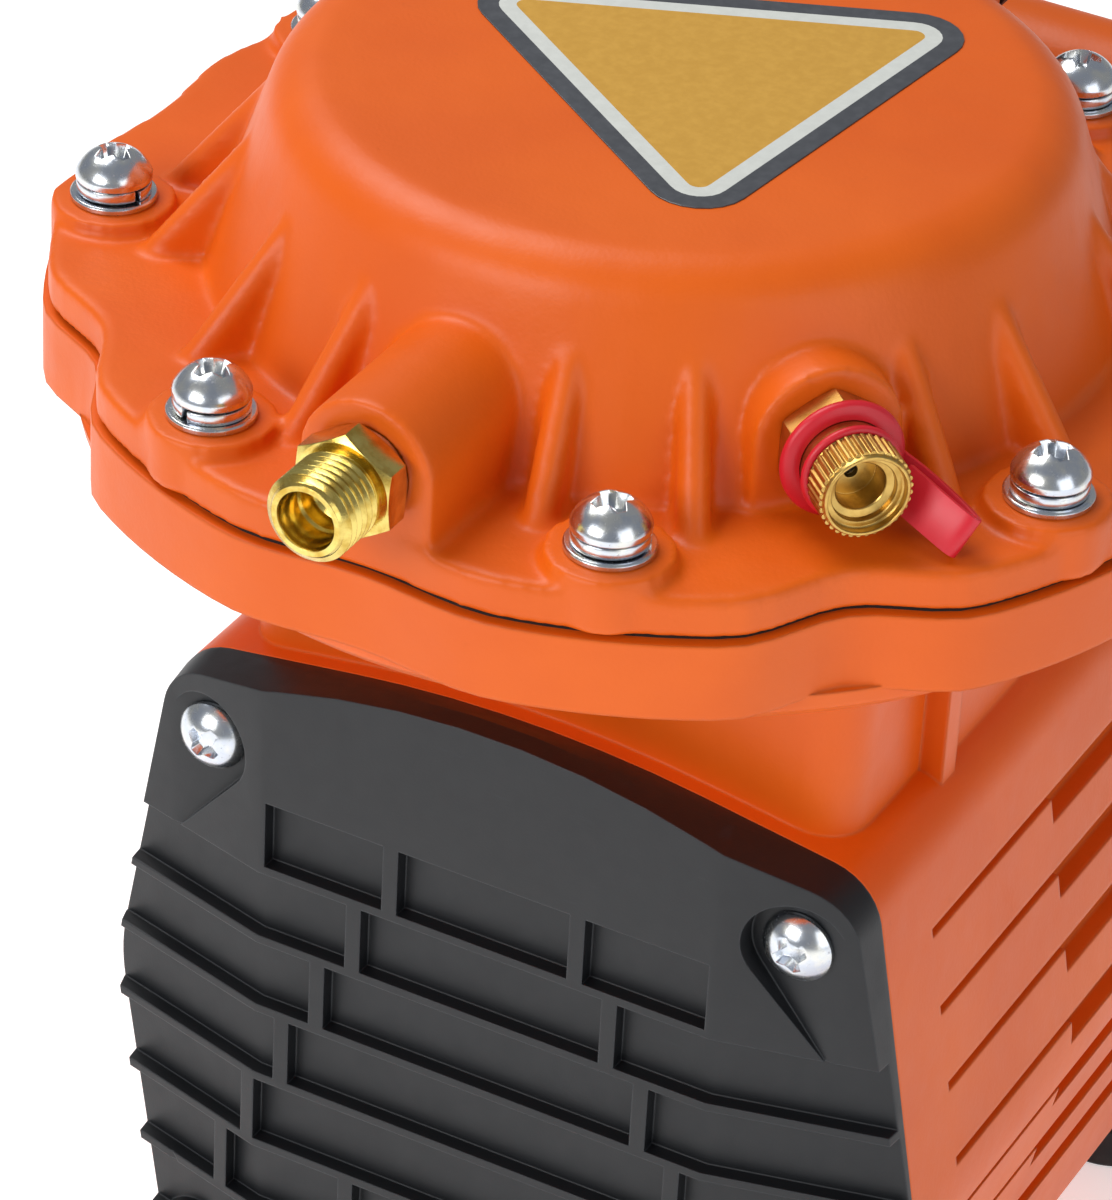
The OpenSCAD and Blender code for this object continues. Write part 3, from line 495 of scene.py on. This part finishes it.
def rounded_casting(node, voxel, rounds, most, finish):
    """A casting's sharp CAD solid as a poured one: remeshed evenly and its corners eased.

    The mesh is then thinned to the most triangles that it may have.
    """
    piece = keep(merged(node), node + "_cast", "body", finish, "cast_paint", node)
    remesh = piece.modifiers.new("even", "REMESH")
    remesh.mode, remesh.voxel_size = "VOXEL", voxel * MM
    remesh.use_smooth_shade = True
    melt = piece.modifiers.new("melt", "SMOOTH")
    melt.factor, melt.iterations = 0.5, rounds
    piece.data = final_mesh(piece)
    piece.modifiers.clear()
    thin = piece.modifiers.new("thin", "DECIMATE")
    thin.ratio = min(1.0, most / (2 * len(piece.data.polygons)))
    piece.data = final_mesh(piece)
    piece.modifiers.clear()


rounded_casting("head_cover", 0.75, 6, 170000, ENAMEL_SOFT)


def crisp_casting(node, finish, slot):
    """A CAD solid shaded smooth, with its real edges left crisp."""
    bm = merged(node)
    smooth_to(bm, CRISP_ANGLE)
    return keep(bm, node + "_finished", "body", finish, slot, node)


for casting in ("body_casting", "carrying_handle"):
    crisp_casting(casting, ENAMEL, "cast_paint")
for cover in ("front_cover", "rear_cover"):
    crisp_casting(cover, COVER_BLACK, "black_plastic")


# ---------------------------------------------------------------- diaphragm

def drum(r):
    """A solid cylinder on the head's axis that takes in the whole diaphragm."""
    return put(lathe([(0, -40), (r, -40), (r, 10), (0, 10)], 96), Matrix.Translation(HEAD))


def diaphragm_part(name, body, r, operation):
    bm = cut(merged("diaphragm"), drum(r), operation)
    smooth_to(bm, 30)
    return keep(bm, name, body, RUBBER, "rubber", "diaphragm")


# The clamped centre goes with the rod and the rim stays in the head. The space between them
# is the rod's sideways travel.
diaphragm_part("diaphragm_rim", "body", 42.3, "DIFFERENCE")
diaphragm_part("diaphragm_centre", "rod", 39.5, "INTERSECT")


# ---------------------------------------------------------------- screws

def domed_head(r, h, depth):
    """A pan head with a cross recess, standing on z = 0."""
    rim = h * 0.22
    cap = h - rim
    ball = (r * r + cap * cap) / (2 * cap)
    arc = []
    for i in range(9):
        lean = math.asin(r / ball) * (1 - i / 8)
        arc.append((ball * math.sin(lean), h - ball + ball * math.cos(lean)))
    bm = lathe([(0, 0), (r - 0.2, 0), (r, 0.2), (r, rim - 0.05)] + arc, 40)
    arm, wide = r * 0.62, r * 0.15
    cross = [(arm, -wide), (arm, wide), (wide * 1.7, wide * 1.7), (wide, arm), (-wide, arm),
             (-wide * 1.7, wide * 1.7), (-arm, wide), (-arm, -wide), (-wide * 1.7, -wide * 1.7),
             (-wide, -arm), (wide, -arm), (wide * 1.7, -wide * 1.7)]
    tool = prism(cross, h - depth, h + 1)
    low = [v for v in tool.verts if v.co.z < (h - depth + 0.01) * MM]
    bmesh.ops.scale(tool, vec=(0.6, 0.6, 1), verts=low)
    bm = cut(bm, tool)
    soften(bm, 0.12, 2, 35)
    smooth_to(bm, 32)
    return bm


def split_ring(r, hole, h, split):
    """A spring washer: one turn that climbs a little and is cut across on the slant."""
    bm = bmesh.new()
    corners = [bm.verts.new((x * MM, 0, z * MM)) for x, z in
               ((hole, 0), (r, 0), (r, h), (hole, h))]
    face = bm.faces.new(corners)
    turned = bmesh.ops.spin(bm, geom=[face], cent=(0, 0, 0), axis=(0, 0, 1),
                            dvec=(0, 0, split / 44 * MM), angle=math.radians(351), steps=44,
                            use_merge=False, use_duplicate=False)
    bmesh.ops.recalc_face_normals(bm, faces=bm.faces)
    soften(bm, 0.22, 2, 40)
    smooth_to(bm, 40)
    return bm


HEAD_SCREW_TURNS = [12, 40, 65, 20, 48, 5, 31, 77]
screws = put(domed_head(5.7, 4.9, 2.8),
             *[at_screw(a, FLAT_WASHER + LOCK_WASHER, t)
               for a, t in zip(SCREW_ANGLES, HEAD_SCREW_TURNS)])
keep(screws, "head_screw_set", "body", ZINC, "zinc", "head_screws")
locks = put(split_ring(5.6, 3.2, 1.75, 0.3),
            *[at_screw(a, FLAT_WASHER, 3 * t) for a, t in zip(SCREW_ANGLES, HEAD_SCREW_TURNS)])
keep(locks, "lock_washer_set", "body", ZINC, "zinc", "lock_washers")
flat = lathe([(3.2, 0), (6.3, 0), (6.5, 0.2), (6.5, 0.85), (6.25, FLAT_WASHER),
              (3.2, FLAT_WASHER), (3.2, 0)], 56)
smooth_to(flat, 35)
keep(put(flat, *[at_screw(a) for a in SCREW_ANGLES]), "flat_washer_set", "body", ZINC, "zinc",
     "flat_washers")


def at_motor(x, up, front, turn=0.0, back=False):
    """Local +Z points out of the front, or out of the back, from the motor axis."""
    return (Matrix.Translation(MOTOR + Vector((x, -front, up)) * MM)
            @ Matrix.Rotation(math.radians(-90 if back else 90), 4, "X")
            @ Matrix.Rotation(math.radians(turn), 4, "Z"))


cover_head = domed_head(5.7, 3.9, 2.2)
keep(put(cover_head, *[at_motor(COVER_SCREW[0] * i, COVER_SCREW[1] * j, COVER_SCREW[2],
                                20 + 33 * (i + 2 * j))
                       for i in (-1, 1) for j in (-1, 1)]),
     "front_cover_screw_set", "body", ZINC, "zinc", "front_cover_screws")


# ---------------------------------------------------------------- outlet and valve

def hexagon(across, low, high):
    """A hexagon with its corners turned off at both ends."""
    tip = across / math.sqrt(3)
    lead = 0.7
    bm = prism([polar(tip, 60 * i) for i in range(6)], low, high)
    turned = lathe([(0, low), (across / 2 - 0.1, low), (tip + 0.1, low + lead),
                    (tip + 0.1, high - lead), (across / 2 - 0.1, high), (0, high)], 64)
    bm = cut(bm, turned, "INTERSECT")
    smooth_to(bm, 20)
    return bm


def outlet():
    base, face = 88.6, 102.97
    pitch, root, crest = 1.32, 5.6, 6.6
    line = [(6.2, base + 4.9), (5.6, base + 5.1), (5.6, base + 5.6)]
    z = base + 6.0
    while z < face - 1.6:
        line += [(root, z), (root + 0.15, z + 0.12 * pitch), (crest - 0.1, z + 0.40 * pitch),
                 (crest, z + 0.5 * pitch), (crest - 0.1, z + 0.6 * pitch),
                 (root + 0.15, z + 0.88 * pitch)]
        z += pitch
    line += [(root, z), (5.7, face - 0.5), (5.3, face), (4.5, face), (4.3, face - 0.4),
             (4.3, face - 5), (3.9, face - 5.4), (3.9, face - 8), (2.7, face - 8.6),
             (2.7, base - 1), (6.0, base - 1), (6.2, base + 4.9)]
    barrel = lathe(line, 72)
    smooth_to(barrel, 34)
    return put(join(hexagon(HEX_ACROSS, base, base + 5), barrel), AT_OUTLET)


keep(outlet(), "outlet_male_fitting", "body", BRASS, "brass", "outlet_fitting")


def relief_body():
    tube = lathe([(1.6, 66), (5.4, 66), (6.4, 72.2), (6.4, RELIEF_TUBE_END - 0.3),
                  (6.15, RELIEF_TUBE_END), (4.95, RELIEF_TUBE_END), (4.95, 74.6), (3.0, 74.6),
                  (3.0, 66.6), (1.6, 66.5), (1.6, 66)], 56)
    smooth_to(tube, 28)
    return put(join(hexagon(HEX_ACROSS, RELIEF_FACE, RELIEF_HEX_END), tube), AT_RELIEF)


keep(relief_body(), "relief_valve_stem", "body", BRASS_DULL, "brass", "relief_valve_body")


def knurled_cap():
    ridges = 36
    outline = []
    for i in range(ridges):
        for step, r in ((0.0, 6.3), (0.3, 6.75), (0.5, 6.8), (0.7, 6.75)):
            outline.append(polar(r, 360 * (i + step) / ridges))
    hole = lathe([(0, 76), (5.9, 76), (5.9, 84), (0, 84)], 56)
    skirt = cut(prism(outline, 77.9, 82.7), hole)
    smooth_to(skirt, 40)
    core = lathe([(1.0, RELIEF_PLUG), (4.9, RELIEF_PLUG), (4.9, 77.65), (6.2, 77.65),
                  (6.4, 77.9), (6.4, 82.7), (6.2, 83.3), (6.05, RELIEF_CAP_END),
                  (5.8, RELIEF_CAP_END), (5.7, 83.25), (5.7, 82.2), (5.5, 82.0), (4.8, 82.0),
                  (4.7, 81.85), (4.7, 80.9), (3.75, 80.6), (3.6, 80.4), (3.6, 76.6),
                  (1.0, 76.6), (1.0, RELIEF_PLUG)], 64)
    smooth_to(core, 28)
    return put(join(skirt, core), AT_RELIEF)


keep(knurled_cap(), "relief_adjusting_cap", "relief_cap", BRASS_DULL, "brass", "relief_valve_cap")


def ring_band(outer, inner, low, high):
    edge = min(0.5, (high - low) * 0.3)
    bm = lathe([(inner, low), (outer - edge, low), (outer, low + edge), (outer, high - edge),
                (outer - edge, high), (inner, high), (inner, low)], 56)
    smooth_to(bm, 50)
    return bm


def eased(path, rounds):
    """A path with its corners cut back again and again. Its ends stay."""
    for _ in range(rounds):
        inner = []
        for a, b in zip(path, path[1:]):
            inner += [a.lerp(b, 0.25), a.lerp(b, 0.75)]
        path = [path[0]] + inner + [path[-1]]
    return path


def strip(path, half):
    """The outline of a strip that runs along a path."""
    sides = []
    for i, point in enumerate(path):
        along = (path[min(i + 1, len(path) - 1)] - path[max(i - 1, 0)]).normalized()
        sides.append((point, Vector((-along.y, along.x)) * half))
    return [p + s for p, s in sides] + [p - s for p, s in reversed(sides)]


def tether():
    """Two rings on the valve and the strap that folds back between them."""
    big = ring_band(9.0, 6.5, RELIEF_HEX_END, 74.0)
    small = ring_band(7.3, 6.5, 76.3, 77.5)
    path = [Vector(p) for p in ((8, 72.8), (11, 75.5), (13.5, 79.5), (15.2, 83.5), (15.6, 86),
                                (14.2, 86.2), (12.2, 83.6), (9.8, 80.2), (7.4, 76.9))]
    strap = prism(strip(eased(path, 2), 0.5), 0, 6.4)
    soften(strap, 0.15, 2, 60)
    smooth_to(strap, 50)
    strap = put(strap, Matrix.Rotation(math.radians(58), 4, "Z")
                @ Matrix.Translation((0, 4.6 * MM, 0))
                @ Matrix.Rotation(math.radians(90), 4, "X"))
    return put(join(big, small, strap), AT_RELIEF)


keep(tether(), "relief_strap", "body", RED, "red_plastic", "relief_valve_tether")


# ---------------------------------------------------------------- label

def round_triangle(reach, radius, steps=9):
    """A triangle with a corner at 0 degrees, its corners rounded."""
    points = []
    for k in range(3):
        cx, cy = polar(reach - 2 * radius, 120 * k)
        for i in range(steps):
            dx, dy = polar(radius, 120 * k - 60 + 120 * i / (steps - 1))
            points.append((cx + dx, cy + dy))
    return points


def label():
    bm = prism(round_triangle(47.7, 7.5), 29.4, 29.62)
    soften(bm, 0.08, 2, 60)
    top = max(bm.faces, key=lambda f: f.calc_center_median().z * (f.calc_area() > 1e-4))
    bmesh.ops.inset_region(bm, faces=[top], thickness=3.1 * MM, depth=0.0)
    white_band = bmesh.ops.inset_region(bm, faces=[top], thickness=2.6 * MM, depth=0.0)
    for face in white_band["faces"]:
        face.material_index = 1
    top.material_index = 2
    for face in bm.faces:
        face.smooth = False
    place = Matrix.Translation(HEAD + Vector((4.4, 2.1, 0)) * MM) @ Matrix.Rotation(
        math.radians(174), 4, "Z")
    return put(bm, place)


keep(label(), "head_decal", "body", [FILM_GREY, FILM_WHITE, FILM_AMBER], "label", "head_label")


# ---------------------------------------------------------------- feet

def foot():
    bm = lathe([(2.6, 5.0), (2.6, 13.0), (11.4, 13.0), (12.0, 12.4), (12.0, 9.4), (11.5, 9.0),
                (11.5, 8.2), (12.0, 7.8), (12.0, 0.8), (11.3, 0.0), (6.6, 0.0), (6.0, 0.5),
                (6.0, 5.0), (2.6, 5.0)], 56)
    smooth_to(bm, 32)
    return bm


keep(put(foot(), *[Matrix.Translation(Vector((x, -26 + y, 0)) * MM)
                   for x in (-FOOT_X, FOOT_X) for y in (FOOT_FRONT, FOOT_BACK)]),
     "rubber_foot_set", "body", RUBBER, "rubber", "rubber_feet")


# ---------------------------------------------------------------- stage

def backdrop():
    bm = bmesh.new()
    bmesh.ops.create_grid(bm, x_segments=1, y_segments=1, size=3.0)
    mesh = bpy.data.meshes.new("floor")
    bm.to_mesh(mesh)
    bm.free()
    floor = bpy.data.objects.new("floor", mesh)
    bpy.context.scene.collection.objects.link(floor)
    p = Paint("pale_floor")
    mesh.materials.append(p.finish(Base_Color=p.mix(p.noise(3), rgb(246, 246, 246),
                                                    rgb(250, 250, 250)), Roughness=0.7,
                                    Emission_Color=(1.0, 1.0, 1.0, 1.0),
                                    Emission_Strength=0.45))


backdrop()


def soft_light(name, place, aim, size, power, colour):
    data = bpy.data.lights.new(name, "AREA")
    data.shape, data.size, data.size_y = "RECTANGLE", size[0], size[1]
    data.energy, data.color = power, colour
    light = bpy.data.objects.new(name, data)
    light.location = place
    light.rotation_euler = (Vector(aim) - Vector(place)).to_track_quat("-Z", "Y").to_euler()
    bpy.context.scene.collection.objects.link(light)


soft_light("key", (-0.62, 0.10, 1.25), (0, 0, 0.17), (0.7, 0.7), 10.5, (1.0, 0.99, 0.97))
soft_light("front", (-0.35, -1.15, 0.75), (0, 0, 0.16), (0.7, 0.5), 8, (1.0, 1.0, 1.0))
soft_light("fill", (1.05, -0.45, 0.55), (0, 0, 0.15), (0.8, 0.9), 3.5, (0.98, 0.99, 1.0))

world = bpy.data.worlds.new("studio")
world.use_nodes = True
world.node_tree.nodes["Background"].inputs[0].default_value = (0.90, 0.94, 1.0, 1.0)
world.node_tree.nodes["Background"].inputs[1].default_value = 0.30
bpy.context.scene.world = world
bpy.context.scene.view_settings.view_transform = "Standard"

camera = bpy.data.objects.new("camera", bpy.data.cameras.new("camera"))
camera.data.lens = 170.95
camera.data.sensor_width = 36.0
camera.data.clip_start = 0.05
right = Vector((0.87453, 0.48276, 0.04635))
up = Vector((-0.29874, 0.46095, 0.83564))
ahead = Vector((-0.38205, 0.74463, -0.54733))
turn = Matrix((right, up, -ahead)).transposed()
camera.matrix_world = Matrix.Translation((0.321109, -0.681638, 0.630591)) @ turn.to_4x4()
bpy.context.scene.collection.objects.link(camera)
bpy.context.scene.camera = camera
